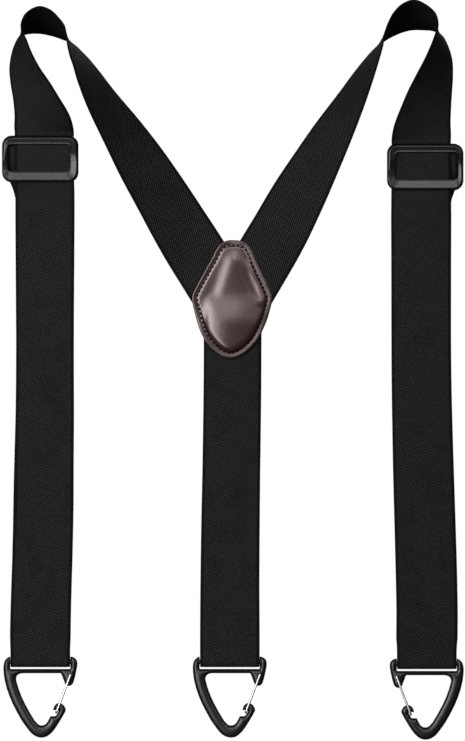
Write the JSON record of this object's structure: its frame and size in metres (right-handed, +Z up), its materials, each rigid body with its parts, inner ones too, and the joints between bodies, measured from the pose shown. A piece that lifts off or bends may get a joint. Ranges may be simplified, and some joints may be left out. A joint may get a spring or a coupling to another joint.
{
  "type": "Y-back trouser braces",
  "caption": "Elastic webbing braces in a Y: leather back patch, two adjustable front straps over the shoulders, one rear strap, and a moulded hook with a wire gate on each end.",
  "frame": {"origin": "on the back face of the leather backing, midway across the patch at its widest height", "axes": "+Z up along the rear strap towards the shoulders, -Y out of the patch's front face away from the wearer, +X to the right as seen from the front of the patch"},
  "size_m": [0.3925, 0.0572, 0.6284],
  "materials": {
    "webbing": "woven twill, matt",
    "leather": "smooth, waxed",
    "thread": "waxed thread",
    "hook_plastic": "moulded satin",
    "adjuster_plastic": "moulded satin",
    "wire": "bright"
  },
  "bodies": {
    "harness": {"patch_front": "leather", "patch_back": "leather", "patch_stitching": "thread", "left_shoulder_strap": "webbing", "right_shoulder_strap": "webbing", "rear_strap": "webbing", "left_front_run": "webbing", "right_front_run": "webbing"},
    "left_hook_loop": {"left_loop_fold": "webbing", "left_back_run": "webbing"},
    "left_adjuster": {"left_adjuster_frame": "adjuster_plastic", "left_sewn_end": "webbing", "left_sewn_end_tack": "thread"},
    "left_hook": {"left_hook_frame": "hook_plastic"},
    "left_gate": {"left_wire_gate": "wire"},
    "right_hook_loop": {"right_loop_fold": "webbing", "right_back_run": "webbing"},
    "right_adjuster": {"right_adjuster_frame": "adjuster_plastic", "right_sewn_end": "webbing", "right_sewn_end_tack": "thread"},
    "right_hook": {"right_hook_frame": "hook_plastic"},
    "right_gate": {"right_wire_gate": "wire"},
    "rear_hook_loop": {"rear_loop_fold": "webbing", "rear_loop_tack": "thread"},
    "rear_hook": {"rear_hook_frame": "hook_plastic"},
    "rear_gate": {"rear_wire_gate": "wire"}
  },
  "joints": [
    {"name": "left_length", "type": "slide", "parent": "harness", "child": "left_hook_loop", "axis": [0, 0, -1], "range_m": [0, 0.12], "deforming": ["left_front_run"]},
    {"name": "left_adjuster_slide", "type": "slide", "parent": "left_hook_loop", "child": "left_adjuster", "axis": [0, 0, -1], "range_m": [0, 0.12], "deforming": ["left_back_run"]},
    {"name": "right_length", "type": "slide", "parent": "harness", "child": "right_hook_loop", "axis": [0, 0, -1], "range_m": [0, 0.12], "deforming": ["right_front_run"]},
    {"name": "right_adjuster_slide", "type": "slide", "parent": "right_hook_loop", "child": "right_adjuster", "axis": [0, 0, -1], "range_m": [0, 0.12], "deforming": ["right_back_run"]},
    {"name": "rear_stretch", "type": "slide", "parent": "harness", "child": "rear_hook_loop", "axis": [0, 0, -1], "range_m": [0, 0.08], "stiffness_N_per_m": 300, "deforming": ["rear_strap"]},
    {"name": "left_hook_swing", "type": "hinge", "parent": "left_hook_loop", "child": "left_hook", "pos_m": [-0.1635, -0.0047, -0.3101], "axis": [1, 0, 0], "range_deg": [-90, 90]},
    {"name": "left_gate_swing", "type": "hinge", "parent": "left_hook", "child": "left_gate", "pos_m": [-0.1375, -0.0047, -0.3206], "axis": [0, 1, 0], "range_deg": [0, 38], "stiffness_Nm_per_rad": 0.02, "springref_deg": -11.46},
    {"name": "right_hook_swing", "type": "hinge", "parent": "right_hook_loop", "child": "right_hook", "pos_m": [0.1651, -0.0047, -0.3118], "axis": [1, 0, 0], "range_deg": [-90, 90]},
    {"name": "right_gate_swing", "type": "hinge", "parent": "right_hook", "child": "right_gate", "pos_m": [0.1391, -0.0047, -0.3223], "axis": [0, -1, 0], "range_deg": [0, 38], "stiffness_Nm_per_rad": 0.02, "springref_deg": -11.46},
    {"name": "rear_hook_swing", "type": "hinge", "parent": "rear_hook_loop", "child": "rear_hook", "pos_m": [-0.0025, -0.0047, -0.3101], "axis": [1, 0, 0], "range_deg": [-90, 90]},
    {"name": "rear_gate_swing", "type": "hinge", "parent": "rear_hook", "child": "rear_gate", "pos_m": [0.0235, -0.0047, -0.3206], "axis": [0, 1, 0], "range_deg": [0, 38], "stiffness_Nm_per_rad": 0.02, "springref_deg": -11.46}
  ],
  "couplings": [
    {"joint": "left_adjuster_slide", "follows": "left_length", "ratio": 1},
    {"joint": "right_adjuster_slide", "follows": "right_length", "ratio": 1}
  ]
}
